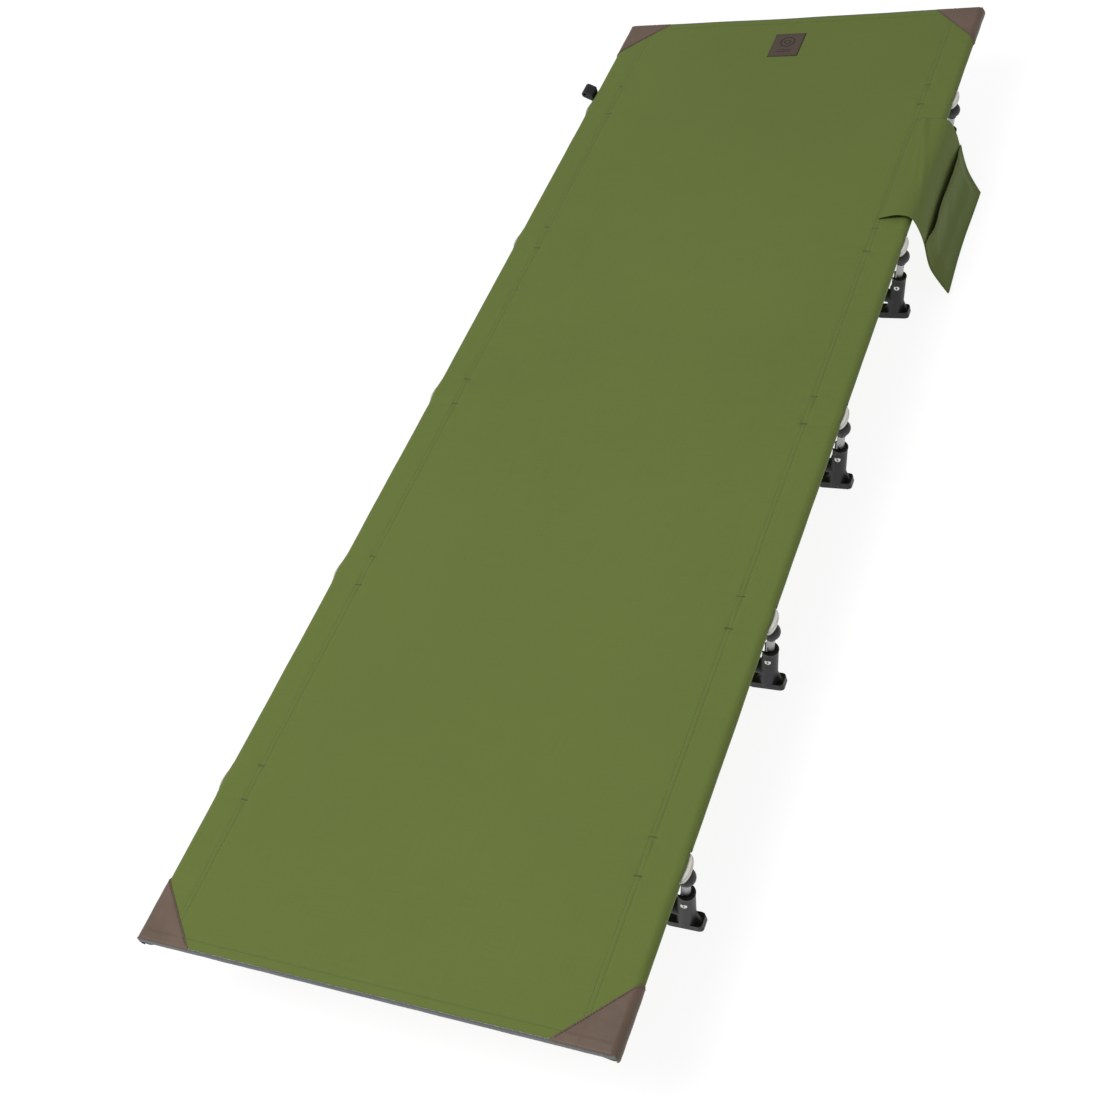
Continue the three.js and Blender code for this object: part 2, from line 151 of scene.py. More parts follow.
SADDLE_HALF = 17.5
SADDLE_OUT, SADDLE_DOWN = 3.2, 2.0  # the clip's own axis from the pole's
SADDLE_END_R, SADDLE_SWELL = 7.0, 5.8
CLIP_TOP = 1.6  # the clips end here above the pole axis, under the cloth's cut edge
SADDLE_LOW = 12.9
CATCH_REACH, CATCH_RISE, CATCH_HALF = 29.0, 18.0, 6.5
CATCH_RING = 2.9
FIT = 0.25  # room between a clip and its pole
SEAT_FIT = 0.35

CAMERA_PLACE = (0.983 + CENTRE_X * MM, -1.512, 1.749)
CAMERA_TURN = (41.953, 16.777, 21.300)
CAMERA_LENS = 53.849
SKY = 0.42
FLOOR_REACH = 12000.0
LIGHTS = (
    ("key", (-1.2, -1.5, 4.2), 2.4, 150),
    ("far", (-1.0, 2.6, 2.4), 2.0, 6),
)


def smooth(t):
    t = min(max(t, 0.0), 1.0)
    return t * t * (3 - 2 * t)


def bell(distance, width):
    return math.exp(-((distance / width) ** 2))


def wander(*place):
    return noise.noise(Vector(place))


# ---- mesh helpers


def new_object(name, data):
    made = bpy.data.objects.new(name, data)
    bpy.context.scene.collection.objects.link(made)
    return made


def mesh_of(name, points, faces, shift=0.0):
    """A mesh from points in millimetres. The shift moves it along X to the row frame."""
    mesh = bpy.data.meshes.new(name)
    mesh.from_pydata([((x + shift) * MM, y * MM, z * MM) for x, y, z in points], [], faces)
    mesh.validate()
    mesh.update()
    shade_smooth(mesh)
    return mesh


def bed_piece(name, points, faces, material, slot=None, uvs=None):
    """A piece on the bed, from points about the cot's centre line."""
    made = new_object(name, mesh_of(name, points, faces, CENTRE_X))
    if uvs is not None:
        layer = made.data.uv_layers.new(name="cloth")
        flat = [c * MM for loop in made.data.loops for c in uvs[loop.vertex_index]]
        layer.data.foreach_set("uv", flat)
    finish_piece(made, material)
    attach(made, "bed")
    return made


def finish_piece(made, material):
    made.data.materials.clear()
    made.data.materials.append(material)


def grid_faces(rows, columns, keep=None):
    """Quads of a grid whose points are stored row by row."""
    faces = []
    for i in range(rows - 1):
        for j in range(columns - 1):
            if keep is None or keep(i, j):
                a = i * columns + j
                faces.append((a, a + 1, a + columns + 1, a + columns))
    return faces


def circle(count):
    """The cosine and sine of each of a number of equal turns."""
    turns = [2 * math.pi * k / count for k in range(count)]
    return [(math.cos(turn), math.sin(turn)) for turn in turns]


def ring_faces(a, sides, apart=None):
    """Quads between the ring of points that starts at a and the next, or one so far apart."""
    b = a + (apart or sides)
    turns = [(k, (k + 1) % sides) for k in range(sides)]
    return [(a + k, a + n, b + n, b + k) for k, n in turns]


def shade_smooth(mesh):
    for polygon in mesh.polygons:
        polygon.use_smooth = True


def rework(mesh, act):
    work = bmesh.new()
    work.from_mesh(mesh)
    act(work)
    work.to_mesh(mesh)
    work.free()


def turn_outwards(mesh):
    rework(mesh, lambda work: bmesh.ops.recalc_face_normals(work, faces=work.faces))


def drop_loose(work):
    bmesh.ops.delete(work, geom=[v for v in work.verts if not v.link_faces], context="VERTS")


def lathe(profile, sides, place=Matrix()):
    """A solid turned about local Z from (radius, height) pairs. A closed profile makes a ring."""
    ring = profile[0] == profile[-1]
    stops = profile[:-1] if ring else profile
    points, faces, starts = [], [], []
    for radius, height in stops:
        starts.append(len(points))
        count = 1 if radius == 0 else sides
        for u, v in circle(sides)[:count]:
            points.append(place @ Vector((radius * u, radius * v, height)))
    for i in range(len(stops) - (not ring)):
        after = (i + 1) % len(stops)
        a, b = starts[i], starts[after]
        for p, q, r, s in ring_faces(a, sides, b - a):
            pointed = (a, s, r) if stops[i][0] == 0 else (p, b, q) if stops[after][0] == 0 else None
            faces.append(pointed or (p, q, r, s))
    return points, faces


def prism(outline, low, high, place=Matrix()):
    """A solid with the outline, a list of (x, y), given height along local Z."""
    n = len(outline)
    points = [place @ Vector((x, y, z)) for z in (low, high) for x, y in outline]
    sides = [(k, (k + 1) % n, n + (k + 1) % n, n + k) for k in range(n)]
    return points, sides + [tuple(range(n)), tuple(range(n, 2 * n))]


def rod(radius, low, high, sides, place):
    return lathe([(0, low), (radius, low), (radius, high), (0, high)], sides, place)


def box(low, high, place=Matrix()):
    outline = [(low[0], low[1]), (high[0], low[1]), (high[0], high[1]), (low[0], high[1])]
    return prism(outline, low[2], high[2], place)


def solid(name, shape):
    made = new_object(name, mesh_of(name, *shape))
    turn_outwards(made.data)
    return made


def baked(made):
    """Applies every modifier of an object to its mesh."""
    graph = bpy.context.evaluated_depsgraph_get()
    mesh = bpy.data.meshes.new_from_object(made.evaluated_get(graph))
    made.modifiers.clear()
    made.data = mesh


def combine(made, shapes, operation):
    for shape in shapes:
        tool = solid("tool", shape)
        step = made.modifiers.new("step", "BOOLEAN")
        step.object, step.operation, step.solver = tool, operation, "EXACT"
        baked(made)
        bpy.data.objects.remove(tool)


def moulded(made, voxel, rounds=4):
    """Rounds every corner of a solid, as a moulded part has them."""
    remesh = made.modifiers.new("remesh", "REMESH")
    remesh.mode, remesh.voxel_size = "VOXEL", voxel * MM
    relax = made.modifiers.new("relax", "SMOOTH")
    relax.factor, relax.iterations = 0.5, rounds
    baked(made)
    shade_smooth(made.data)
    return made


def shifted(*place):
    return Matrix.Translation(place)


def along_post():
    return shifted(RIVET.x, 0, RIVET.z) @ Matrix.Rotation(POST_LEAN, 4, "Y")


def along_bow_end():
    """Local Z runs out of the +X end of the bow."""
    turn = Matrix.Rotation(BOW_SLOPE + math.pi / 2, 4, "Y")
    return shifted(BOW_END_X, 0, BOW_END_Z) @ turn


ALONG_Y = Matrix.Rotation(-math.pi / 2, 4, "X")
ON_POLE = shifted(POLE.x, 0, POLE.z) @ ALONG_Y
ON_RIVET = shifted(RIVET.x, 0, RIVET.z) @ ALONG_Y
UPRIGHT = Matrix.Rotation(math.pi / 2, 4, "X")

# ---- materials


class Graph:
    """The node tree of a new material, with a Principled shader."""

    def __init__(self, name, roughness, metallic=0.0, **sockets):
        self.material = bpy.data.materials.new(name)
        self.material.use_nodes = True
        self.tree = self.material.node_tree
        self.shader = self.tree.nodes["Principled BSDF"]
        self.shader.inputs["Roughness"].default_value = roughness
        self.shader.inputs["Metallic"].default_value = metallic
        for key, value in sockets.items():
            self.shader.inputs[key.replace("_", " ")].default_value = value

    def feed(self, socket, value):
        if isinstance(value, bpy.types.NodeSocket):
            self.tree.links.new(value, socket)
        else:
            socket.default_value = value

    def node(self, kind, inputs=None, **settings):
        made = self.tree.nodes.new("ShaderNode" + kind)
        for key, value in settings.items():
            setattr(made, key, value)
        for key, value in (inputs or {}).items():
            self.feed(made.inputs[key], value)
        return made

    def math(self, operation, a, b=0.0):
        return self.node("Math", {0: a, 1: b}, operation=operation).outputs[0]

    def object_place(self):
        return self.node("TexCoord").outputs["Object"]

    def flat_place(self):
        return self.node("UVMap", uv_map="cloth").outputs["UV"]

    def noise(self, place, scale, detail=3.0, stretch=None):
        if stretch:
            place = self.node("Mapping", {"Vector": place, "Scale": stretch}).outputs["Vector"]
        facts = {"Vector": place, "Scale": scale, "Detail": detail}
        return self.node("TexNoise", facts).outputs["Fac"]

    def shades(self, factor, dark, light, low=0.3, high=0.7):
        """A colour between two, by a factor."""
        ramp = self.node("ValToRGB", {"Fac": factor})
        ends = ramp.color_ramp.elements
        ends[0].position, ends[0].color = low, (*dark, 1)
        ends[1].position, ends[1].color = high, (*light, 1)
        return ramp.outputs["Color"]

    def around(self, factor, share, base):
        """The factor times the share, on top of the base."""
        spread = self.math("MULTIPLY_ADD", factor, share)
        spread.node.inputs[2].default_value = base
        return spread

    def mixed(self, factor, a, b):
        mix = self.node("Mix", {"Factor": factor}, data_type="RGBA", blend_type="MIX")
        for socket, value in zip([s for s in mix.inputs if s.type == "RGBA"], (a, b)):
            self.feed(socket, (*value, 1) if isinstance(value, tuple) else value)
        return next(s for s in mix.outputs if s.type == "RGBA")

    def bump(self, height, strength, distance, **under):
        facts = {"Height": height, "Strength": strength, "Distance": distance, **under}
        return self.node("Bump", facts).outputs["Normal"]

    def finish(self, color=None, roughness=None, normal=None):
        for key, value in (("Base Color", color), ("Roughness", roughness), ("Normal", normal)):
            if value is not None:
                self.feed(self.shader.inputs[key], value)
        return self.material


def scaled(color, by):
    return tuple(min(1.0, c * by) for c in color)


def canvas(name, color, thread=0.55):
    """A plain-weave polyester with a faint sheen. The thread is its pitch, in millimetres."""
    g = Graph(name, 0.86, Sheen_Weight=0.04, Sheen_Roughness=0.5, Specular_IOR_Level=0.14)
    flat = g.flat_place()
    split = g.node("SeparateXYZ", {"Vector": flat})
    turns = math.pi / (thread * MM)
    waves = [
        g.math("SINE", g.math("MULTIPLY", split.outputs[axis], turns)) for axis in ("X", "Y")
    ]
    weave = g.math("MULTIPLY_ADD", g.math("MULTIPLY", *waves), 0.5)
    slub_x = g.noise(flat, 900, 2, (1, 0.02, 1))
    slub_y = g.noise(flat, 900, 2, (0.02, 1, 1))
    slubs = g.math("ADD", slub_x, slub_y)
    broad = g.noise(g.object_place(), 3.2, 4)
    fine = g.noise(flat, 420, 3)
    base = g.shades(broad, scaled(color, 0.93), scaled(color, 1.06))
    threads = g.mixed(0.5, base, g.shades(slubs, scaled(color, 0.92), scaled(color, 1.08), 0.7, 1.3))
    worn = g.mixed(g.math("MULTIPLY", fine, 0.25), threads, scaled(color, 1.12))
    rough = g.around(fine, 0.12, 0.74)
    normal = g.bump(slubs, 0.12, 0.0001, Normal=g.bump(weave, 0.4, 0.00016))
    return g.finish(worn, rough, normal)


def leatherette(name, color):
    g = Graph(name, 0.5, Specular_IOR_Level=0.28, Coat_Weight=0.03, Coat_Roughness=0.5)
    place = g.object_place()
    pores = g.node("TexVoronoi", {"Vector": place, "Scale": 950}, feature="DISTANCE_TO_EDGE")
    creases = g.math("MINIMUM", pores.outputs["Distance"], 0.12)
    broad = g.noise(place, 22, 5)
    fine = g.noise(place, 600, 3)
    base = g.shades(broad, scaled(color, 0.86), scaled(color, 1.12))
    shade = g.mixed(g.math("MULTIPLY", fine, 0.3), base, scaled(color, 1.25))
    rough = g.around(broad, 0.2, 0.42)
    normal = g.bump(fine, 0.15, 0.0001, Normal=g.bump(creases, 0.45, 0.00035))
    return g.finish(shade, rough, normal)


def ribbed_tape(name, color):
    g = Graph(name, 0.85, Sheen_Weight=0.2, Sheen_Roughness=0.5)
    place = g.object_place()
    strands = g.noise(place, 1500, 2, (1, 1, 0.15))
    base = g.shades(strands, scaled(color, 0.6), scaled(color, 1.4), 0.35, 0.65)
    dusty = g.mixed(g.math("MULTIPLY", g.noise(place, 60, 4), 0.35), base, scaled(color, 1.5))
    return g.finish(dusty, None, g.bump(strands, 0.5, 0.0002))


def thread(name, color):
    g = Graph(name, 0.7, Sheen_Weight=0.3)
    twist = g.noise(g.object_place(), 2600, 2)
    base = g.shades(twist, scaled(color, 0.7), scaled(color, 1.3))
    return g.finish(base, None, g.bump(twist, 0.4, 0.0001))


def nylon(name, color, roughness, wear=1.6):
    """A moulded plastic: a fine spark-eroded grain, slight flow marks and rubbed high spots."""
    g = Graph(name, roughness, Specular_IOR_Level=0.34)
    place = g.object_place()
    grain = g.noise(place, 1800, 2)
    flow = g.noise(place, 45, 4, (1, 1, 0.35))
    scuffs = g.noise(place, 260, 6, (1, 0.3, 1))
    base = g.shades(flow, scaled(color, 0.85), scaled(color, 1.18))
    rubbed = g.shades(scuffs, (0, 0, 0), (1, 1, 1), 0.6, 0.78)
    shade = g.mixed(g.math("MULTIPLY", rubbed, 0.35), base, scaled(color, wear))
    rough = g.around(flow, 0.16, roughness - 0.08)
    normal = g.bump(scuffs, 0.06, 0.0002, Normal=g.bump(grain, 0.12, 0.0001))
    return g.finish(shade, rough, normal)


def brushed_metal(name, color, roughness, stretch):
    """An anodised tube with fine drawing marks along it."""
    g = Graph(name, roughness, 1.0)
    place = g.object_place()
    marks = g.noise(place, 1400, 3, stretch)
    cloudy = g.noise(place, 30, 3)
    base = g.shades(marks, scaled(color, 0.86), scaled(color, 1.1))
    shade = g.mixed(g.math("MULTIPLY", cloudy, 0.25), base, scaled(color, 0.8))
    rough = g.around(marks, 0.18, roughness - 0.09)
    return g.finish(shade, rough, g.bump(marks, 0.08, 0.00008))


def floor_white(name):
    g = Graph(name, 0.9, Emission_Strength=0.90)
    g.shader.inputs["Emission Color"].default_value = (1, 1, 1, 1)
    soft = g.noise(g.object_place(), 1.5, 2)
    return g.finish(g.shades(soft, (0.12, 0.12, 0.12), (0.14, 0.14, 0.14)))


GREEN = (0.115, 0.152, 0.035)
CANVAS = canvas("green canvas", GREEN)
# The pocket back is the same green canvas, painted a little darker: painted shade for the cloth that hangs
# down the side.
SHADED_POCKET_CANVAS = canvas("pocket canvas painted shade", scaled(GREEN, 0.97))
# The pocket front is the same green canvas, painted darker: painted shade for its side that faces away from
# the light.
SHADED_FRONT_CANVAS = canvas("pocket front canvas painted shade", scaled(GREEN, 0.86))
LEATHER = leatherette("brown leatherette", (0.122, 0.082, 0.060))
DARK_LEATHER = leatherette("label leatherette", (0.068, 0.045, 0.033))
# A near-black copy of the leatherette for the label's pressed hollows: painted shade in the recesses.
SHADED_PRESSED_LEATHER = leatherette("pressed leatherette painted shade", (0.026, 0.017, 0.013))
TAPE = ribbed_tape("grey ribbed tape", (0.088, 0.091, 0.095))
GREEN_THREAD = thread("dark green thread", (0.062, 0.088, 0.020))
BROWN_THREAD = thread("dark brown thread", (0.045, 0.028, 0.018))
SATIN = (0.40, 0.40, 0.395)
ALUMINIUM = brushed_metal("satin aluminium", SATIN, 0.42, (1, 1, 0.04))
POLE_METAL = brushed_metal("pole aluminium", SATIN, 0.42, (1, 0.04, 1))
BOW_METAL = brushed_metal("bow aluminium", SATIN, 0.42, (0.04, 1, 1))
STEEL = brushed_metal("rivet steel", (0.72, 0.72, 0.71), 0.26, (1, 1, 1))
BLACK = nylon("black nylon", (0.010, 0.0104, 0.0106), 0.48, 2.4)
GREY = nylon("dark grey nylon", (0.030, 0.030, 0.031), 0.5, 2.0)
CREAM = nylon("cream nylon", (0.56, 0.55, 0.50), 0.5, 0.85)
ELASTIC = thread("elastic cord", (0.02, 0.02, 0.02))

# ---- the bed cloth's surface


def opening(side, y):
    """The stretch along Y where a sleeve is cut away for a saddle, and at one leg for the clip."""
    room = CATCH_ROOM if side < 0 and y == LEG_Y[-1] else 0
    return side, y - OPENING / 2, y + OPENING / 2 + room


OPENINGS = [opening(side, y) for side in (-1, 1) for y in LEG_Y]


def pucker(x, y):
    """How far the top stands off a plane near the stitching: grooves, and dimples at the bartacks."""
    out = abs(x)
    depth = 0.0
    if abs(out - SEAM_X) < 40:
        wave = 0.10 * math.sin(y / 5.3) + 0.10 * math.sin(y / 8.9 + out)
        rows = bell(out - SEAM_X + STITCH_GAP, 1.5) + bell(out - SEAM_X - STITCH_GAP, 1.5)
        depth -= (0.42 + wave) * rows
        depth += 0.28 * bell(out - SEAM_X, 2.6)
        for _, low, high in [o for o in OPENINGS if o[0] * x > 0]:
            for tack, way in ((low - BARTACK_AWAY, -1), (high + BARTACK_AWAY, 1)):
                if abs(y - tack) < 45:
                    reach = math.hypot(out - SEAM_X, y - tack)
                    depth -= 1.0 * bell(reach, 7)
                    fan = math.sin(3.2 * math.atan2(y - tack, out - SEAM_X) + way)
                    depth += 0.55 * fan * bell(reach - 13, 13)
                    depth -= 0.55 * bell(y - tack, 4) * smooth((out - SEAM_X) / 25)
    return depth


def hem_step(y):
    """The folded hem at each end is two cloths thick, with a stitched groove at its inner edge."""
    inward = END_Y - abs(y)
    return 0.5 * smooth((HEM + 2 - inward) / 2.5) - 0.45 * bell(inward - HEM, 1.3)


def top_z(x, y):
    """Height of the cloth's upper face."""
    out = abs(x)
    slack = smooth((POLE.x - out) / 200)
    along = 1 - 0.5 * (y / END_Y) ** 2
    sag = -2.6 * along * smooth((POLE.x - out) / POLE.x)
    rolling = 0.9 * wander(x / 190, y / 240, 0.3)
    rolling += 0.35 * wander(x / 70, y / 95, 4.1)
    pull = sum(0.35 * bell(y - leg, 20) * smooth(out / 180) for leg in LEG_Y)
    end_ripple = 0.35 * math.sin(x / 31) * bell(END_Y - abs(y), 30) * slack
    broad = TOP_Z + sag + slack * rolling + pull * (1 - slack * 0.4) + end_ripple
    return broad + pucker(x, y) + hem_step(y)


def sleeve_stand(side, angle, y):
    """How far the sleeve stands off its own radius: pushed out by each saddle, loose elsewhere."""
    low = smooth((angle + 70) / 100)
    push = sum(1.8 * bell(y - leg, 17) for leg in LEG_Y) * smooth((75 - angle) / 50) * low
    loose = 0.35 * wander(side * 7.7, y / 46, angle / 60)
    return push + loose * smooth((88 - angle) / 30)


def half_section():
    """The cloth's cross-section for one side, as ("top", x), ("wrap", degrees) and ("under", share)."""
    flat = [*np.linspace(0, SEAM_X - 15, 30)[:-1], *np.linspace(SEAM_X - 15, SEAM_X + 13, 19)[:-1]]
    flat += [*np.linspace(SEAM_X + 13, POLE.x, 8)]
    seam = Vector((SEAM_X - POLE.x, TOP_Z - 2.3 - POLE.z))
    tangent = math.degrees(math.atan2(seam.y, seam.x) + math.acos(SLEEVE_R / seam.length)) - 360
    wrap = [*np.linspace(90, OPENING_ANGLE, 7)[1:], *np.linspace(OPENING_ANGLE, tangent, 14)[1:]]
    section = [("top", x) for x in flat] + [("wrap", a) for a in wrap]
    return section + [("under", s) for s in np.linspace(0, 1, 10)[1:]] + [("allow", 9.0)], tangent


SECTION, TANGENT = half_section()


def around_pole(side, radius, angle, y):
    turn = math.radians(angle)
    return (side * (POLE.x + radius * math.cos(turn)), y, POLE.z + radius * math.sin(turn))


def cloth_point(side, stop, y):
    kind, value = stop
    if kind == "top":
        return (side * value, y, top_z(side * value, y))
    edge_hem = 0.5 * smooth((HEM + 2 - END_Y + abs(y)) / 2.5)
    if kind == "wrap":
        settle = (top_z(side * POLE.x, y) - TOP_Z) * smooth((value - 20) / 70)
        radius = SLEEVE_R + settle + sleeve_stand(side, value, y) + edge_hem * smooth((90 - value) / 20)
        return around_pole(side, radius, value, y)
    start = around_pole(side, SLEEVE_R + sleeve_stand(side, TANGENT, y), TANGENT, y)
    end = (side * SEAM_X, y, TOP_Z - 2.3 - 0.4)
    if kind == "allow":
        return (side * (SEAM_X - value), y, TOP_Z - 2.4 + top_z(side * (SEAM_X - value), y) - TOP_Z)
    hang = 1.2 * math.sin(math.pi * value) * (1 + wander(y / 60, side, 2.0))
    return tuple(a + (b - a) * value - (hang if k == 2 else 0) for k, (a, b) in enumerate(zip(start, end)))


def row_places():
    """Places along Y, closer together near the legs and at the hems."""
    keys = {-END_Y, END_Y}
    for _, low, high in OPENINGS:
        keys.update((low, high))
    for leg in LEG_Y:
        keys.update((leg - 46, leg + 46))
    for s in (-1, 1):
        keys.update((s * (END_Y - HEM - 4), s * (END_Y - HEM + 3)))
    keys = sorted(keys)
    rows = []
    for low, high in zip(keys, keys[1:]):
        near_leg = any(abs((low + high) / 2 - leg) < 46 for leg in LEG_Y)
        near_end = abs((low + high) / 2) > END_Y - HEM - 4
        step = 1.2 if near_end else 3.0 if near_leg else 7.5
        count = max(1, math.ceil((high - low) / step))
        rows += [low + (high - low) * k / count for k in range(count)]
    return rows + [END_Y]


def bed_cloth():
    """One sewn sheet: the panel, and a sleeve along each edge, cut away at the saddles."""
    rows = row_places()
    stops = [(-1, s) for s in reversed(SECTION[1:])] + [(1, s) for s in SECTION]
    points = [cloth_point(side, stop, y) for y in rows for side, stop in stops]
    middle_row = len(rows) // 3
    line = [Vector(points[middle_row * len(stops) + j]) for j in range(len(stops))]
    across = np.concatenate([[0], np.cumsum([(b - a).length for a, b in zip(line, line[1:])])])
    uvs = [(across[j] - across[-1] / 2, y) for y in rows for j in range(len(stops))]

    def in_opening(stop):
        kind, value = stop[1]
        return kind == "under" or kind == "wrap" and value < OPENING_ANGLE + 0.01

    def keep(i, j):
        y = (rows[i] + rows[i + 1]) / 2
        side = stops[j][0] if stops[j][0] == stops[j + 1][0] else 1
        cut = in_opening(stops[j]) and in_opening(stops[j + 1])
        return not (cut and any(low < y < high for at, low, high in OPENINGS if at == side))

    made = bed_piece("bed_cloth", points, grid_faces(len(rows), len(stops), keep), CANVAS, "canvas", uvs)
    rework(made.data, drop_loose)
    thicken(made, CLOTH)
    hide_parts("bed_fabric")
    return made


def thicken(made, thickness, offset=-1.0):
    shell = made.modifiers.new("thickness", "SOLIDIFY")
    shell.thickness, shell.offset = thickness * MM, offset


# ---- stitches


def along_line(at, along, values):
    return Vector([np.interp(at, along, values[:, k]) for k in range(3)])


def stitch_mesh(lines, pitch=3.6, length=2.6, radius=0.27):
    """Small rounded stitches along lines of (point, normal) pairs, sunk a little in the cloth."""
    sides, points, faces = 6, [], []
    caps = ((-0.5, 0.35), (-0.36, 1.0), (0.36, 1.0), (0.5, 0.35))
    for line in lines:
        places = np.array([p for p, _ in line], float)
        ups = np.array([n for _, n in line], float)
        along = np.concatenate([[0], np.cumsum(np.linalg.norm(np.diff(places, axis=0), axis=1))])
        for at in np.arange(pitch / 2, along[-1], pitch):
            at += random.uniform(-0.12, 0.12) * pitch
            here, ahead = [along_line(a, along, places) for a in (at - 0.3, at + 0.3)]
            up = along_line(at, along, ups).normalized()
            way = (ahead - here).normalized()
            out = way.cross(up)
            centre = (here + ahead) / 2 + up * radius * 0.35
            base = len(points)
            for t, r in caps:
                for u, v in circle(sides):
                    ring = out * u * radius * r * 1.15 + up * v * radius * r
                    points.append(centre + way * t * length + ring)
            for c in range(len(caps) - 1):
                faces += ring_faces(base + c * sides, sides)
            faces.append(tuple(base + k for k in reversed(range(sides))))
            faces.append(tuple(base + (len(caps) - 1) * sides + k for k in range(sides)))
    return points, faces


def stitched(name, lines, material, **sizes):
    made = bed_piece(name, *stitch_mesh(lines, **sizes), material)
    turn_outwards(made.data)
    return made


UP = (0, 0, 1)


def on_top(x, y):
    return (x, y, top_z(x, y)), UP


def patch_edge_y(x):
    """Where the slanting edge of a corner patch is, inward from the end, at |x|."""
    return END_Y - PATCH_ALONG * max(0.0, abs(x) - EDGE_X + PATCH_ACROSS) / PATCH_ACROSS


def seam_stitches():
    """Two rows along each sleeve seam, between the corner patches, and the hem row at each end."""
    lines = []
    for side in (-1, 1):
        for offset in (-STITCH_GAP, STITCH_GAP):
            x = side * (SEAM_X + offset)
            limit = patch_edge_y(x) - 2
            spans = [(-limit, limit)]
            if side > 0 and offset > 0:
                spans = [(-limit, POCKET_NEAR), (POCKET_FAR, limit)]
            for span in spans:
                lines.append([on_top(x + 0.4 * wander(x, y / 40, 1), y) for y in np.arange(*span, 2.0)])
    for end in (-1, 1):
        y = end * (END_Y - HEM)
        reach = EDGE_X - PATCH_ACROSS + HEM * PATCH_ACROSS / PATCH_ALONG - 1
        lines.append([on_top(x, y) for x in np.arange(-reach, reach, 2.0)])
    return stitched("seam_stitches", lines, GREEN_THREAD)


def bartacks():
    """Dense bars of thread across each seam, one at each end of each sleeve opening."""
    lines = []
    for side, low, high in OPENINGS:
        xs = np.linspace(side * (SEAM_X - 6), side * (SEAM_X + 6), 8)
        for y in (low - BARTACK_AWAY, high + BARTACK_AWAY):
            for k in range(3):
                lines.append([on_top(x, y + 0.7 * (k - 1)) for x in xs])
    return stitched("bartacks", lines, GREEN_THREAD, pitch=1.5, length=1.6, radius=0.30)


def opening_hems():
    """The turned and stitched edge of the sleeve above each saddle."""
    lines = []
    angle = OPENING_ANGLE + 14
    for side, low, high in OPENINGS:
        out = (side * math.cos(math.radians(angle)), 0, math.sin(math.radians(angle)))
        places = np.arange(low - 2, high + 2, 1.5)
        lines.append([(cloth_point(side, ("wrap", angle), y), out) for y in places])
    return stitched("opening_stitches", lines, GREEN_THREAD, pitch=3.0, length=2.2, radius=0.3)


# ---- trim on the bed


def end_binding(name, end, node):
    """Ribbed tape over the cut end of the cloth, lower where a corner patch covers it."""
    columns = int(2 * EDGE_X / 0.7)
    points, ring = [], 14
    reach = EDGE_X - 1.5
    for c in range(columns + 1):
        x = -reach + 2 * reach * c / columns
        under_patch = smooth((abs(x) - EDGE_X + PATCH_ACROSS - 2) / 6)
        top = top_z(x, end * END_Y) + 0.2 - 0.75 * under_patch
        droop = 0.8 * wander(x / 30, end, 5.0)
        bottom = TOP_Z - BINDING_HIGH + droop
        rib = abs(math.sin(math.pi * x / BINDING_RIB)) ** 0.6
        thick = 0.8 + 0.45 * rib + 0.22 * wander(x / 3.1, end, 1.0)
        centre_y = END_Y + 1.2
        half = (top - bottom) / 2
        for u, v in circle(ring):
            square = math.copysign(abs(v) ** 0.4, v)
            y = centre_y + thick * math.copysign(abs(u) ** 0.7, u)
            points.append((x, end * y, (top + bottom) / 2 + half * square * (0.97 + 0.04 * rib)))
    faces = []
    for c in range(columns):
        faces += ring_faces(c * ring, ring)
    faces += [tuple(range(ring)), tuple(range(columns * ring, (columns + 1) * ring))]
    made = bed_piece(name, points, faces, TAPE, "binding")
    turn_outwards(made.data)
    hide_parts(node)
    return made


def patch_surface(side, end, across, y, inset=0.0):
    """A point of a corner patch, `across` along its skin from its inner tip, and the outward normal."""
    if across <= PATCH_FLAT:
        x = side * (EDGE_X - PATCH_ACROSS + across)
        z = top_z(x, end * min(y, END_Y)) + PATCH_LIFT
        return Vector((x, end * y, z - inset)), Vector((0, 0, 1))
    radius = SLEEVE_R + PATCH_LIFT + 0.2
    angle = 90 - math.degrees((across - PATCH_FLAT) / radius)
    settle = (top_z(side * POLE.x, end * min(y, END_Y)) - TOP_Z) * smooth((angle - 20) / 70)
    place = around_pole(side, radius + settle - inset, angle, end * y)
    turn = math.radians(angle)
    return Vector(place), Vector((side * math.cos(turn), 0, math.sin(turn)))


def patch_inner(side, end, across):
    place, _ = patch_surface(side, end, across, END_Y)
    return max(patch_edge_y(place.x), END_Y - PATCH_ALONG)


def corner_patch(name, side, end, node):
    """A leatherette triangle over the corner: it wraps the sleeve and turns down over its end."""
    columns, rows = 56, 34
    turned = ((0.6, 0.1), (1.2, 0.4), (1.7, 0.9), (2.0, 1.6))
    points = []
    for c in range(columns + 1):
        across = 1.0 + (PATCH_SPAN - 1.0) * c / columns
        inner = patch_inner(side, end, across)
        for r in range(rows + 1):
            y = inner + (END_Y - inner) * r / rows
            place, up = patch_surface(side, end, across, y)
            from_edge = (y - inner) * PATCH_ACROSS / math.hypot(PATCH_ACROSS, PATCH_ALONG)
            puff = 0.25 * smooth(from_edge / 12) - 0.35 * bell(from_edge - PATCH_SEAM, 0.9)
            puff -= 0.45 * (1 - smooth(from_edge / 1.2))
            puff += 0.3 * wander(across / 14, y / 14, side + 2.0 * end)
            points.append(place + up * puff)
        for out, inset in turned:
            place, _ = patch_surface(side, end, across, END_Y + out, inset)
            points.append(place)
    count = rows + 1 + len(turned)
    made = bed_piece(name, points, grid_faces(columns + 1, count), LEATHER, "leatherette")
    turn_outwards(made.data)
    flat = min(made.data.polygons, key=lambda p: 1 - abs(p.normal.z))
    if flat.normal.z < 0:
        made.data.flip_normals()
    thicken(made, 1.0)
    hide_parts(node)
    return made


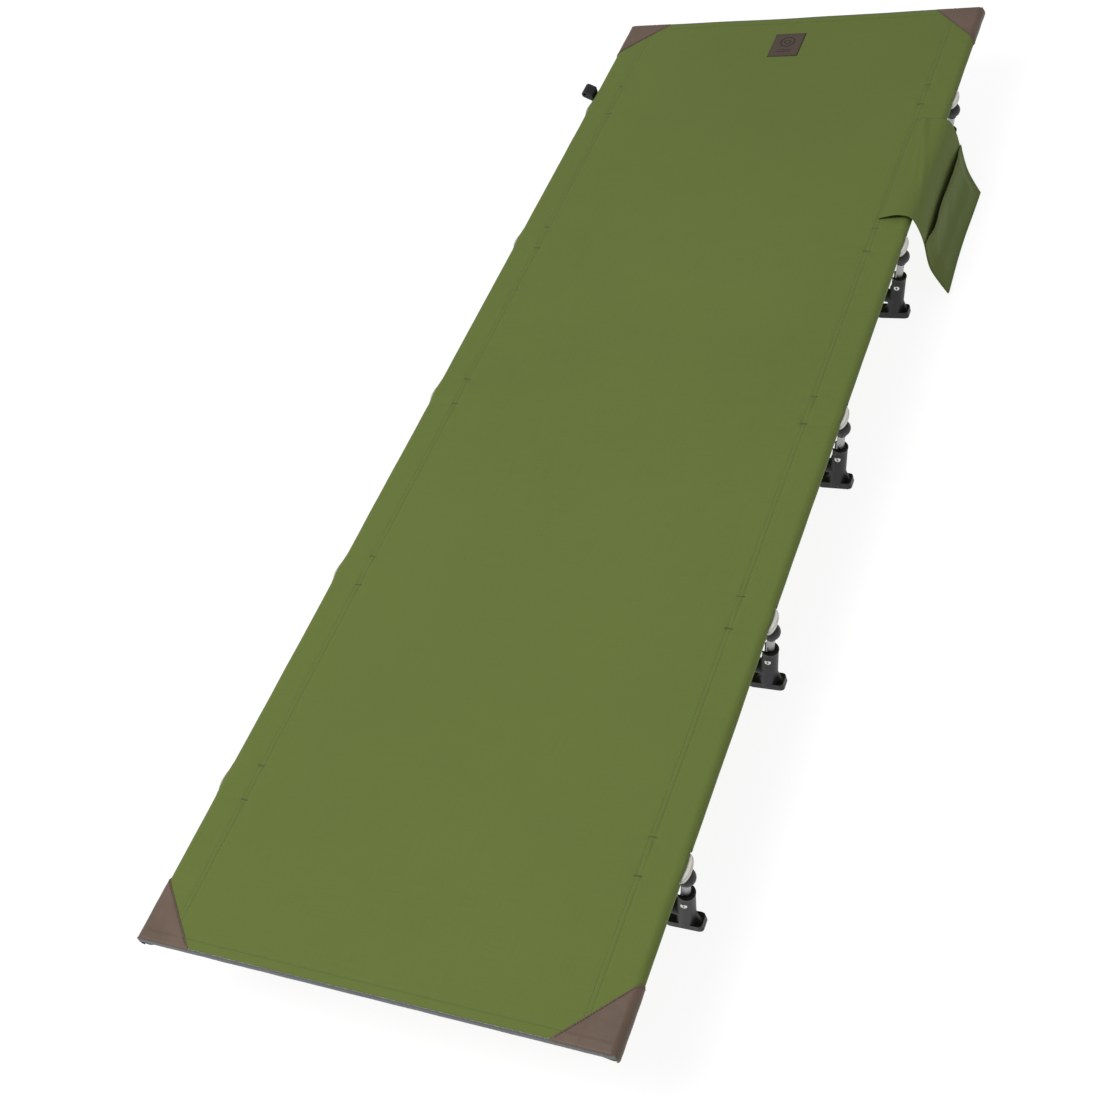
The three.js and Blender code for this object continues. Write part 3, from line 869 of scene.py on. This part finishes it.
def patch_stitches():
    """A row along each slanting edge."""
    seam = PATCH_SEAM * math.hypot(PATCH_ACROSS, PATCH_ALONG) / PATCH_ACROSS
    lines = []
    for side in (-1, 1):
        for end in (-1, 1):
            slant = []
            for across in np.arange(4.0, PATCH_SPAN - 2, 1.5):
                y = patch_inner(side, end, across) + seam
                if y < END_Y - 2:
                    slant.append(patch_surface(side, end, across, y))
            lines.append(slant)
    return stitched("patch_stitches", lines, BROWN_THREAD, pitch=3.4, length=2.5, radius=0.36)


def label_patch():
    """A plain leatherette label: a pressed border, a ring and two bars, their hollows painted dark as shade.
    """
    columns, rows = int(LABEL_WIDE / LABEL_STEP), int(LABEL_LONG / LABEL_STEP)
    points = []

    def pressed(x, y):
        border = min(LABEL_WIDE / 2 - abs(x), LABEL_LONG / 2 - abs(y))
        depth = 0.35 * bell(border - 4.2, 0.8)
        depth += 0.8 * bell(math.hypot(x, y - 8) - 12.5, 1.3)
        depth += 0.8 * bell(math.hypot(x, y - 8) - 5, 1.1)
        for bar in (-14.0, -19.5):
            if abs(x) < 14:
                depth += 0.65 * bell(y - bar, 1.0) * smooth((14 - abs(x)) / 1.5)
        rounded = 1 - smooth(border / 1.4)
        return -depth - 0.5 * rounded

    def spot(r, c):
        return -LABEL_WIDE / 2 + LABEL_WIDE * c / columns, -LABEL_LONG / 2 + LABEL_LONG * r / rows

    for r in range(rows + 1):
        for c in range(columns + 1):
            x, y = spot(r, c)
            place_y = LABEL_TOP - LABEL_LONG / 2 + y
            points.append((x, place_y, top_z(x, place_y) + LABEL_LIFT + pressed(x, y)))
    made = bed_piece("label_leather", points, grid_faces(rows + 1, columns + 1), DARK_LEATHER, "leatherette")
    # Faces pressed deeper than 0.3 mm take the near-black leatherette: painted shade in the hollows.
    made.data.materials.append(SHADED_PRESSED_LEATHER)
    for polygon in made.data.polygons:
        r, c = divmod(polygon.index, columns)
        polygon.material_index = int(pressed(*spot(r + 0.5, c + 0.5)) < -0.3)
    thicken(made, 1.1)
    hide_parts("label_patch")
    return made


def label_stitches():
    inset, steps, lines = 2.2, 40, []
    wide, low, high = LABEL_WIDE / 2 - inset, LABEL_TOP - LABEL_LONG + inset, LABEL_TOP - inset
    for a, b in (((-wide, low), (wide, low)), ((-wide, high), (wide, high)),
                 ((-wide, low), (-wide, high)), ((wide, low), (wide, high))):
        line = [[a[i] + (b[i] - a[i]) * k / steps for i in (0, 1)] for k in range(steps + 1)]
        lines.append([((x, y, top_z(x, y) + LABEL_LIFT - 0.05), UP) for x, y in line])
    return stitched("label_stitches", lines, BROWN_THREAD, pitch=2.8, length=2.0, radius=0.3)


# ---- side pocket


def catmull(stops, t):
    """A smooth line through the stops, at t from 0 to 1."""
    spans = len(stops) - 1
    at = min(max(t, 0.0), 1.0) * spans
    i = min(int(at), spans - 1)
    u = at - i
    a, b, c, d = (np.array(stops[min(max(k, 0), spans)], float) for k in (i - 1, i, i + 1, i + 2))
    return 0.5 * (2 * b + (c - a) * u + (2 * a - 5 * b + 4 * c - d) * u * u + (3 * b - a - 3 * c + d) * u**3)


FLAP_X = SEAM_X + 0.5
MOUTH_DROP = 45.0
POCKET_DROP = 141.0
FLARE = 40.0
TOP_STOPS = 4  # stops over the sleeve
FALL_STOPS = 5  # stops from the edge to the bottom
BACK_FLAT = (POCKET_WIDE, 215)
FRONT_FLAT = (POCKET_WIDE, 105)


def pocket_stops(v):
    """The pocket's section at v, from 0 at its near side to 1: (x, z) stops out from the seam and down."""
    near = bell(v, 0.30)
    lift = 1.6 + 5.0 * near
    top = [
        (FLAP_X, TOP_Z + 0.7),
        (SEAM_X + 14, TOP_Z + 1.2 + 0.55 * lift),
        (EDGE_X - 17, TOP_Z + 1.2 + lift),
        (EDGE_X - 1, TOP_Z + 1.4 + 0.5 * lift),
    ]
    mouth_x = EDGE_X + 15 + 3 * v
    fall = [
        (EDGE_X + 7.5 + 1.5 * v, TOP_Z - 5),
        (EDGE_X + 12.5 + 2.5 * v, TOP_Z - 22),
        (mouth_x, TOP_Z - MOUTH_DROP),
        (mouth_x + 3 + 3.5 * v, TOP_Z - 0.5 * (MOUTH_DROP + POCKET_DROP) - 3),
        (EDGE_X + FLARE, TOP_Z - POCKET_DROP - 3.5 * (1 - v)),
    ]
    return top + fall


MOUTH_T = (TOP_STOPS + 2) / (TOP_STOPS + FALL_STOPS - 1)


def pocket_y(t, v):
    """Side edges drift inward and out again on the way down."""
    fallen = smooth((t - 0.35) / 0.6)
    near_shift = -5 * math.sin(math.pi * fallen) - 3 * smooth((t - 0.8) / 0.2)
    far_shift = -5 * fallen
    return POCKET_NEAR + (POCKET_FAR - POCKET_NEAR) * v + near_shift * (1 - v) + far_shift * v


def pocket_point(t, v):
    x, z = catmull(pocket_stops(v), t)
    y = pocket_y(t, v)
    over = smooth(t / 0.12) * smooth((1.05 - t) / 0.2)
    folds = 2.2 * bell((t - 0.30) - (0.60 - v) * 0.36, 0.040) * smooth((v - 0.15) / 0.25)
    folds += 1.6 * bell((t - 0.16) - (0.9 - v) * 0.22, 0.035) * smooth((v - 0.2) / 0.3)
    drape = 1.6 * math.sin(5.2 * v + 2.5 * t) * smooth((t - 0.45) / 0.25)
    small = 0.7 * wander(t * 5, v * 6, 8.0)
    hangs = smooth((t - 0.4) / 0.2)
    return Vector((x + drape + small * over * hangs, y, z + (folds + small) * over * (1 - hangs)))


def pocket_out(t, v):
    """The pocket's normal, away from the bed."""
    step = 0.01
    along = pocket_point(min(t + step, 1), v) - pocket_point(max(t - step, 0), v)
    across = pocket_point(t, min(v + step, 1)) - pocket_point(t, max(v - step, 0))
    normal = across.cross(along).normalized()
    return normal if normal.x > 0 else -normal


def hung_cloth(node, point, rows, flat, material, thickness):
    """A grid of point(s, v) with its flat size as UVs, its front turned up and away from the bed."""
    columns = 64
    places = [(r / rows, c / columns) for r in range(rows + 1) for c in range(columns + 1)]
    points = [point(s, v) for s, v in places]
    uvs = [(v * flat[0], -s * flat[1]) for s, v in places]
    faces = grid_faces(rows + 1, columns + 1)
    made = bed_piece(node + "_cloth", points, faces, material, "canvas", uvs)
    if sum((p.normal.z + p.normal.x) * p.area for p in made.data.polygons) < 0:
        made.data.flip_normals()
    thicken(made, thickness, 1.0)
    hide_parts(node)
    return made


BORDER = 5.0 / POCKET_WIDE


def front_stand(s, v):
    """How far the pocket's front stands off its back: sewn flat at three edges, open at the mouth."""
    side = smooth((min(v, 1 - v) - BORDER) / 0.13)
    low = smooth((0.95 - s) / 0.3)
    wavy = 1 + 0.22 * math.sin(9 * v + 1.0)
    gape = 8.0 * (1 - smooth(s / 0.5)) * math.sin(math.pi * v) ** 0.5 * (1 - 0.35 * v) * wavy
    belly = 6.5 * math.sin(math.pi * min(1, s / 0.95)) ** 0.8 if s < 0.95 else 0
    hem = 0.55 * (1 - smooth((s - 0.085) / 0.02))
    creases = 0.7 * wander(s * 4, v * 7, 2.0) * side * low
    return POCKET_CLOTH + 0.5 + side * (gape + belly * low * 0.8) + hem + creases


def front_point(s, v):
    t = MOUTH_T + (1 - MOUTH_T) * s
    return pocket_point(t, v) + pocket_out(t, v) * front_stand(s, v)


def pocket_stitches():
    """The flap's row on the seam, the mouth's hem, and the side and bottom seams."""
    lines = []
    lift = POCKET_CLOTH + 0.05
    vs = np.linspace(0.01, 0.99, 120)
    flap_t = 0.028
    lines.append([(pocket_point(flap_t, v) + Vector(UP) * lift, UP) for v in vs])

    def on_front(s, v):
        t = MOUTH_T + (1 - MOUTH_T) * s
        out = pocket_out(t, v)
        return front_point(s, v) + out * 1.0, tuple(out)

    lines += [[on_front(s, v) for v in vs] for s in (0.075, 0.965)]
    lines += [[on_front(s, v) for s in np.linspace(0.02, 0.965, 60)] for v in (0.014, 0.986)]
    return stitched("pocket_stitches", lines, GREEN_THREAD, pitch=3.4, length=2.5, radius=0.28)


# ---- poles and saddles


def pole(name, side, node):
    """Tube sections joined end to end, each edge rolled in a little."""
    breaks = [(a + b) / 2 for a, b in zip(LEG_Y, LEG_Y[1:])]
    stops = [-POLE_END_Y, *breaks, POLE_END_Y]
    inner = POLE_R - POLE_WALL
    profile = []
    for low, high in zip(stops, stops[1:]):
        profile += [(POLE_R - 0.6, low + 0.1), (POLE_R, low + 0.8)]
        profile += [(POLE_R, high - 0.8), (POLE_R - 0.6, high - 0.1)]
    outline = [(inner, -POLE_END_Y), *profile, (inner, POLE_END_Y), (inner, -POLE_END_Y)]
    place = shifted(side * POLE.x, 0, POLE.z) @ ALONG_Y
    made = bed_piece(name, *lathe(outline, 28, place), POLE_METAL, "aluminium")
    turn_outwards(made.data)
    sharpen(made)
    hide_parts(node)
    return made


def sharpen(made, degrees=35):
    """Keeps hard edges hard under smooth shading."""
    made.data.set_sharp_from_angle(angle=math.radians(degrees))


def saddle_master():
    """A clip under the pole: a rounded bulge with the ball's seat, open towards the middle."""
    half = SADDLE_HALF
    profile = [(0, -half)]
    for k in range(25):
        s = -1 + 2 * k / 24
        profile.append((SADDLE_END_R + SADDLE_SWELL * max(0.0, 1 - s * s) ** 0.62, s * half))
    profile.append((0, half))
    axis = shifted(POLE.x + SADDLE_OUT, 0, POLE.z - SADDLE_DOWN) @ ALONG_Y
    made = solid("saddle_master", lathe(profile, 40, axis))
    bore = rod(POLE_R + FIT, -half - 2, half + 2, 40, ON_POLE)
    seat_r = BALL_R + SEAT_FIT
    turns = np.linspace(-math.pi / 2, math.pi / 2, 25)
    seat = [(seat_r * math.cos(a), seat_r * math.sin(a)) for a in turns]
    seat[0], seat[-1] = (0, -seat_r), (0, seat_r)
    ball = lathe(seat, 40, shifted(BALL.x, 0, BALL.z))
    low_corner = (BALL.x - 40, -half - 2, BALL.z - 40)
    way_out = box(low_corner, (BALL.x, half + 2, BALL.z + seat_r))
    roof, low = POLE.z + CLIP_TOP, POLE.z - SADDLE_LOW
    top = box((POLE.x - 40, -half - 2, roof), (POLE.x + 40, half + 2, roof + 40))
    under = box((POLE.x - 40, -half - 2, low - 40), (POLE.x + 40, half + 2, low))
    combine(made, [bore, ball, way_out, top, under], "DIFFERENCE")
    return moulded(made, 0.55, 3)


def catch_shape():
    """A small moulded clip on the pole with a rounded tab, beside the head-end saddle at -X."""
    low, high = ((corner / MM).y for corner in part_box("edge_catch"))
    half, reach = CATCH_HALF, math.hypot(CATCH_REACH, CATCH_RISE)
    outline = [(POLE_R + 1.3, -half)]
    for a in np.linspace(-math.pi / 2, math.pi / 2, 13):
        outline.append((reach - half + half * math.cos(a), half * math.sin(a)))
    outline += [(POLE_R + 1.3, half)]
    rise = Matrix.Rotation(-math.atan2(CATCH_RISE, CATCH_REACH), 4, "Y")
    place = shifted(POLE.x, 0, POLE.z) @ rise
    tab = prism(outline, -high, -low, place @ UPRIGHT)
    made = solid("catch_master", rod(POLE_R + CATCH_RING, low, high, 40, ON_POLE))
    combine(made, [tab], "UNION")
    bore = rod(POLE_R + FIT, low - 2, high + 2, 40, ON_POLE)
    corner = (POLE.x + SLEEVE_R + 0.5, high + 2, POLE.z + 40)
    top = box((POLE.x - 40, low - 2, POLE.z + CLIP_TOP), corner)
    lip = place @ shifted(reach - 6, 0, 0)
    round_hole = [(2.2 * u, 2.2 * v) for u, v in circle(19)]
    hole = prism(round_hole, -high - 2, -low + 2, lip @ UPRIGHT)
    combine(made, [bore, top, hole], "DIFFERENCE")
    moulded(made, 0.6, 3)
    made.data.transform(Matrix.Scale(-1, 4, (1, 0, 0)))
    turn_outwards(made.data)
    return made


# ---- legs


def foot_outline(toe, heel):
    side, r = FOOT_WIDTH / 2, FOOT_CORNER
    outline = []
    for x, y, start in ((toe, -side, -90), (toe, side, 0), (heel, side, 90), (heel, -side, 180)):
        cx, cy = x - math.copysign(r, x - (toe + heel) / 2), y - math.copysign(r, y)
        for turn in range(start, start + 91, 15):
            turn = math.radians(turn)
            outline.append((cx + r * math.cos(turn), cy + r * math.sin(turn)))
    return outline


def foot_master():
    """A moulded foot: a leaning column with a slot for the post, a bow socket, a flat sole."""
    below = -(RIVET.z - FOOT_BASE / 2) / math.cos(POST_LEAN)
    column = [(0, below), (12.4, below), (12.0, -40), (11.5, -14), (11.1, 6), (11.1, 13),
              (11.5, 14.6), (11.5, MOUTH), (0, MOUTH)]
    made = solid("foot_master", lathe(column, 40, along_post()))
    toe = EDGE_X - FOOT_TOE
    heel = toe - FOOT_LENGTH
    deep = -SOCKET_LENGTH
    outside = [(0, deep), (9.8, deep), (10.4, deep + 1.5), (SOCKET_R, -8), (SOCKET_R, 14), (0, 14)]
    socket = lathe(outside, 36, along_bow_end())
    base = prism(foot_outline(toe, heel), 0, FOOT_BASE)
    rib = [(toe - 16, 8), (toe - 2.5, 9), (toe - 7.5, 34), (toe - 18, 34)]
    web = [(heel + 6, 5), (toe - 26, 5), (toe - 26, 30), (BOW_END_X + 4, 30)]
    ribs = [prism(rib, -2.2, 2.2, UPRIGHT), prism(web, -2.0, 2.0, UPRIGHT)]
    combine(made, [socket, base, *ribs], "UNION")
    channel = MOUTH + 20
    flared = POST_BORE + 1.6
    bore = [(0, 0), (POST_BORE, 0), (POST_BORE, MOUTH - 1), (flared, MOUTH + 0.6),
            (flared, channel), (0, channel)]
    slot = box((-60, -POST_BORE, -SWEEP_R), (0, POST_BORE, channel), along_post())
    sweep = rod(SWEEP_R, -POST_BORE, POST_BORE, 36, ON_RIVET)
    hole = rod(BOW_R + SEAT_FIT, deep - 10, 0.3, 32, along_bow_end())
    combine(made, [lathe(bore, 32, along_post()), slot, sweep, hole], "DIFFERENCE")
    return moulded(made, 0.7, 3)


def post_master():
    low, high = -POST_BELOW, POST_LENGTH + POST_INTO_BALL - 0.3
    inner = POST_R - POST_WALL
    profile = [(inner, low), (POST_R - 0.4, low), (POST_R, low + 0.5), (POST_R, high),
               (inner, high), (inner, low)]
    made = solid("post_master", lathe(profile, 40, along_post()))
    pin = rod(RIVET_R + 0.2, -9, 9, 24, ON_RIVET)
    combine(made, [pin], "DIFFERENCE")
    shade_smooth(made.data)
    sharpen(made)
    return made


def ball_master():
    """A solid nylon ball with a short collar round the post and a fine parting line."""
    collar, bottom, steps = 7.2, -13.2, 40
    mouth = -math.acos(collar / BALL_R)
    bore = POST_R + 0.15
    profile = [(0, POST_INTO_BALL), (bore, POST_INTO_BALL), (bore, bottom), (collar - 0.6, bottom),
               (collar, bottom + 0.6), (collar, -BALL_R * math.sin(-mouth) - 1.0)]
    for k in range(steps + 1):
        angle = mouth + (math.pi / 2 - mouth) * k / steps
        radius = BALL_R - 0.14 * bell(math.degrees(angle) + 8, 2.4)
        profile.append((0 if k == steps else radius * math.cos(angle), radius * math.sin(angle)))
    place = along_post() @ shifted(0, 0, POST_LENGTH)
    return solid("ball_master", lathe(profile, 48, place))


def rivet_master():
    """A tubular rivet: a rolled silver head on each cheek."""
    seat, head = COLUMN_R - 0.9, RIVET_HEAD_R
    rolled = [(RIVET_R, seat - 0.4), (head, seat - 0.4), (head, seat + 0.5),
              (head - 0.7, seat + 1.35), (head - 1.7, seat + 1.6), (1.7, seat + 1.2),
              (1.3, seat + 0.1), (0, seat - 0.1)]
    profile = [(r, -h) for r, h in reversed(rolled)] + rolled
    made = solid("rivet_master", lathe(profile, 28, ON_RIVET))
    sharpen(made, 50)
    return made


def bow_master():
    """The arched tube between two feet."""
    steps, sides = 72, 28
    points, faces = [], []
    for wall in (0.0, BOW_WALL):
        for i in range(steps + 1):
            angle = BOW_SLOPE * (2 * i / steps - 1)
            drop = BOW_ARC * (1 - math.cos(angle))
            centre = Vector((BOW_ARC * math.sin(angle), 0, BOW_END_Z + BOW_RISE - drop))
            up = Vector((math.sin(angle), 0, math.cos(angle)))
            for u, v in circle(sides):
                points.append(centre + (up * u + Vector((0, 1, 0)) * v) * (BOW_R - wall))
    skin = (steps + 1) * sides
    for layer in (0, skin):
        for i in range(steps):
            faces += ring_faces(layer + i * sides, sides)
    for row in (0, steps * sides):
        faces += ring_faces(row, sides, skin)
    made = solid("bow_master", (points, faces))
    sharpen(made)
    return made


def copy_of(master, name, leg_y, side, body, material, node=None):
    """A copy of a master made for the +X side. The -X side is the same turned round."""
    made = new_object(name, master.data)
    turn = Matrix.Rotation(0 if side > 0 else math.pi, 4, "Z")
    made.matrix_world = shifted(CENTRE_X * MM, leg_y * MM, 0) @ turn
    finish_piece(made, material)
    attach(made, body)
    if node:
        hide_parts(node)
    return made


def legs():
    foot, post, ball = foot_master(), post_master(), ball_master()
    rivet, bow, saddle = rivet_master(), bow_master(), saddle_master()
    for n, leg_y in zip(LEGS, LEG_Y):
        leg = f"leg_{n}"
        base = leg + "_base"
        copy_of(bow, f"bow_{n}", leg_y, 1, base, BOW_METAL, leg + "_bow")
        for side, word in SIDES:
            own, arm = f"{n}_{word}", f"{leg}_{word}_arm"
            for master, kind, body, material, slot, node in (
                (foot, "foot", base, BLACK, "black_nylon", f"{leg}_foot_{word}"),
                (rivet, "rivet", base, STEEL, None, None),
                (post, "post", arm, ALUMINIUM, "aluminium", f"{leg}_post_{word}"),
                (ball, "ball", arm, GREY, "grey_nylon", f"{leg}_ball_{word}"),
                (saddle, "saddle_clip", "bed", CREAM, "cream_nylon", "saddle_" + own),
            ):
                copy_of(master, f"{kind}_{own}", leg_y, side, body, material, node)
    for master in (foot, post, ball, rivet, bow, saddle):
        bpy.data.objects.remove(master)


# ---- camera, light and floor


def studio():
    scene = bpy.context.scene
    camera = new_object("camera", bpy.data.cameras.new("camera"))
    camera.location = CAMERA_PLACE
    camera.rotation_euler = Euler([math.radians(d) for d in CAMERA_TURN], "XYZ")
    camera.data.lens, camera.data.sensor_width = CAMERA_LENS, 36
    camera.data.clip_start, camera.data.clip_end = 0.05, 60
    scene.camera = camera

    world = bpy.data.worlds.new("world")
    world.use_nodes = True
    background = world.node_tree.nodes["Background"]
    background.inputs["Color"].default_value = (1, 1, 1, 1)
    background.inputs["Strength"].default_value = SKY
    scene.world = world
    scene.view_settings.view_transform = "Standard"

    for name, place, size, power in LIGHTS:
        light = bpy.data.lights.new(name, "AREA")
        light.shape, light.size, light.energy = "SQUARE", size, power
        made = new_object(name, light)
        made.location = place
        made.rotation_euler = (-Vector(place)).to_track_quat("-Z", "Y").to_euler()

    far = FLOOR_REACH
    corners = [(-far, -far, 0), (far, -far, 0), (far, far, 0), (-far, far, 0)]
    floor = new_object("floor", mesh_of("floor", corners, [(0, 1, 2, 3)]))
    floor.location.z = -0.0005
    floor.data.materials.append(floor_white("floor white"))


# ---- the whole cot

studio()
cloth = bed_cloth()
trim = [seam_stitches(), bartacks(), opening_hems(), patch_stitches(), label_patch(), label_stitches()]
for end, word in ((1, "head"), (-1, "foot")):
    trim.append(end_binding(f"end_tape_{word}", end, f"end_binding_{word}"))
    for side, hand in SIDES:
        trim.append(corner_patch(f"corner_leather_{word}_{hand}", side, end, f"corner_patch_{word}_{hand}"))

# The pocket back's canvas is painted a little darker, as shade.
back = hung_cloth("pocket_back", pocket_point, 84, BACK_FLAT, SHADED_POCKET_CANVAS, POCKET_CLOTH)
# The pocket front's canvas is painted darker, as shade.
front = hung_cloth("pocket_front", front_point, 60, FRONT_FLAT, SHADED_FRONT_CANVAS, 1.0)
sewing = pocket_stitches()
rods = [pole(f"pole_{word}", side, f"side_pole_{word}") for side, word in SIDES]
legs()
clip = catch_shape()
copy_of(clip, "edge_clip", 0, 1, "bed", BLACK, "edge_catch")
bpy.data.objects.remove(clip)
for _, word in SIDES:
    finish_piece(frame["nodes"][f"shock_cord_{word}"], ELASTIC)
